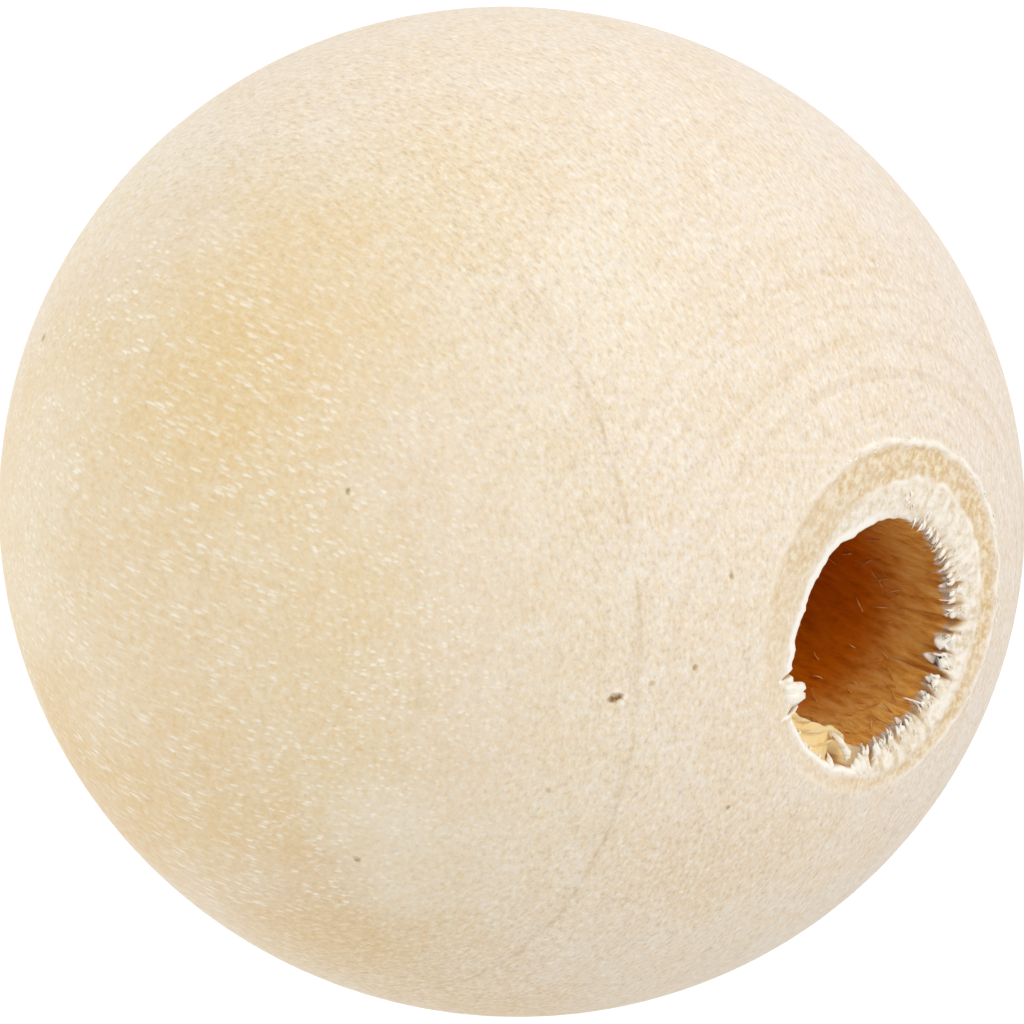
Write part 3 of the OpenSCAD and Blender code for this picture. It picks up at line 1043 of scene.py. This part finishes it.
def tumbledBirch():  # pale turned birch: dull, with fine silky flecks that carry a painted sheen, and a warm heart-side tone that is partly painted shade
    material, tree = startFinish("tumbled birch")
    readings = {}
    for name in mouthValues:
        readings[name] = addNode(tree, "Attribute", {"attribute_name": name}).outputs["Fac"]
    place = addNode(tree, "TexCoord")
    toMm = (1 / mm,) * 3
    bore = addNode(tree, "Mapping", None, {"Vector": place.outputs["Object"], "Scale": toMm})
    boreMm = bore.outputs["Vector"]
    grain = addNode(
        tree, "Mapping", None,
        {"Vector": place.outputs["Object"], "Rotation": (0, grainLean, grainTurn), "Scale": toMm},
    )
    grainMm = grain.outputs["Vector"]
    across = addNode(tree, "SeparateXYZ", None, {"Vector": grainMm})
    fineNoise = addNode(tree, "TexNoise", None, {"Vector": boreMm, "Scale": 9.0, "Detail": 2.0})

    # Mottling, a millimetre or so across
    mottle = addNode(
        tree, "TexNoise", None, {"Vector": grainMm, "Scale": 0.9, "Detail": 3.0, "Roughness": 0.65}
    )
    mottleFac = addNode(
        tree, "MapRange", None, {"Value": mottle.outputs["Fac"], "From Min": 0.40, "From Max": 0.62}
    )
    colour = addNode(tree, "Attribute", {"attribute_name": "tone"}).outputs["Color"]
    colour = addNode(
        tree, "Mix", tinting, {0: mottleFac.outputs["Result"], 6: colour, 7: paint("#fefbf5")}
    ).outputs[2]

    colour, fleckHeight = fleckedEnds(tree, colour, grainMm, across)
    colour = fineTints(tree, colour, fineNoise)
    colour = fibreSheenDashes(tree, colour, grainMm, across, mottle, fineNoise)
    colour = growthLine(tree, colour, across, mottle)
    colour = turningMarks(tree, colour, boreMm)
    ragged = shaken(tree, boreMm, fineNoise, 0.06)  # gives the specks uneven edges
    # dark specks of the wood, with the painted shade of a small pit and painted glints beside it
    for tone, radius, places in birch["specksAndGlints"]:
        share = spots(tree, ragged, radius, places)
        colour = addNode(tree, "Mix", covering, {0: share, 6: colour, 7: paint(tone)}).outputs[2]
    colour = crushedMouth(tree, colour, boreMm, readings)
    colour = burnishedBore(tree, colour, grainMm, readings)

    bump = addNode(tree, "Bump", None, {"Height": fleckHeight, "Strength": 0.35, "Distance": 0.00003})
    surface = addNode(
        tree, "BsdfPrincipled", None,
        {"Base Color": colour, "Roughness": 0.62, "IOR": 1.45, "Normal": bump.outputs["Normal"]},
    )
    shine = addNode(tree, "MapRange", None, {"Value": readings["stain"], "To Min": 0.3, "To Max": 0.05})
    tree.links.new(shine.outputs["Result"], surface.inputs["Specular IOR Level"])
    addNode(tree, "OutputMaterial", None, {"Surface": surface.outputs["BSDF"]})
    return material


# Freshly torn wood: matt, its tone broken up by single fibres
def brokenBirch(name, dark, middleTone, light, grain):
    material, tree = startFinish(name)
    place = addNode(tree, "TexCoord")
    fibre = addNode(
        tree, "Mapping", None, {"Vector": place.outputs["Object"], "Scale": (1000, 1000, 600)}
    )
    fibreNoise = addNode(
        tree, "TexNoise", None,
        {"Vector": fibre.outputs["Vector"], "Scale": grain, "Detail": 2.0, "Roughness": 0.6},
    )
    tone = addNode(
        tree, "ValToRGB", {"stops": ((0.34, dark), (0.50, middleTone), (0.66, light))},
        {"Fac": fibreNoise.outputs["Fac"]},
    )
    surface = addNode(
        tree, "BsdfPrincipled", None,
        {"Base Color": tone.outputs["Color"], "Roughness": 0.8, "IOR": 1.45, "Specular IOR Level": 0.2},
    )
    addNode(tree, "OutputMaterial", None, {"Surface": surface.outputs["BSDF"]})
    return material


# Torn fibres are nearly white, the broken flap shows sappy yellow wood, and the hairs have the bore's brown
for piece, finish in (
    (ball, tumbledBirch()),
    (tornFibres, brokenBirch("torn birch fibre", "#f6ead4", "#fdf5e6", "#fffbf2", 7.0)),
    (brokenFlap, brokenBirch("split birch", "#e6c88c", "#f1d9a4", "#f8e6c0", 4.0)),
    (boreHairs, brokenBirch("burnished birch hair", "#c07a2c", "#d2934a", "#e6b57a", 5.0)),
):
    piece.data.materials.append(finish)
for piece in (ball, tornFibres, brokenFlap, boreHairs):
    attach(piece, "root")
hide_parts("ball")
print("finishes made")


# Stage: a glowing white table and soft studio light

studio = {
    "floorSide": 3.0,  # metres
    "floorGlow": 1.0,
    "worldStrength": 0.70,
    "keyPower": 0.33,
    "keySide": 0.16,
    "keyDistance": 0.30,
    "keyFrom": (0.68, 0.26, 0.72),  # right, up and towards the camera in the picture
}

bpy.ops.object.select_all(action="DESELECT")
bpy.ops.mesh.primitive_plane_add(size=studio["floorSide"], location=(0, 0, -landZ * mm))
floor = startPiece("table")
floorPaint, floorTree = startFinish("white backlit table")
floorSurface = addNode(
    floorTree, "BsdfPrincipled", None,
    {
        "Base Color": grey(0.05), "Roughness": 0.8,
        "Emission Color": grey(1.0), "Emission Strength": studio["floorGlow"],
    },
)
addNode(floorTree, "OutputMaterial", None, {"Surface": floorSurface.outputs["BSDF"]})
floor.data.materials.append(floorPaint)

world = bpy.data.worlds.new("studio")
bpy.context.scene.world = world
world.use_nodes = True
world.node_tree.nodes.clear()
sky = addNode(
    world.node_tree, "Background", None, {"Color": grey(1.0), "Strength": studio["worldStrength"]}
)
addNode(world.node_tree, "OutputWorld", None, {"Surface": sky.outputs["Background"]})

keyRight, keyUp, keyBack = studio["keyFrom"]
keyWay = (pictureRight * keyRight + pictureUp * keyUp + towardCamera * keyBack).normalized()
keySideways = keyWay.cross(Vector((0, 0, 1))).normalized()
keyData = bpy.data.lights.new("key softbox", "AREA")
keyData.shape = "SQUARE"
keyData.size = studio["keySide"]
keyData.energy = studio["keyPower"]
key = bpy.data.objects.new("key softbox", keyData)
bpy.context.collection.objects.link(key)
key.matrix_world = facing(
    keySideways, keyWay.cross(keySideways).normalized(), keyWay, keyWay * studio["keyDistance"]
)

bpy.context.scene.view_settings.view_transform = "Standard"
bpy.context.scene.view_settings.look = "None"
print("stage lit")
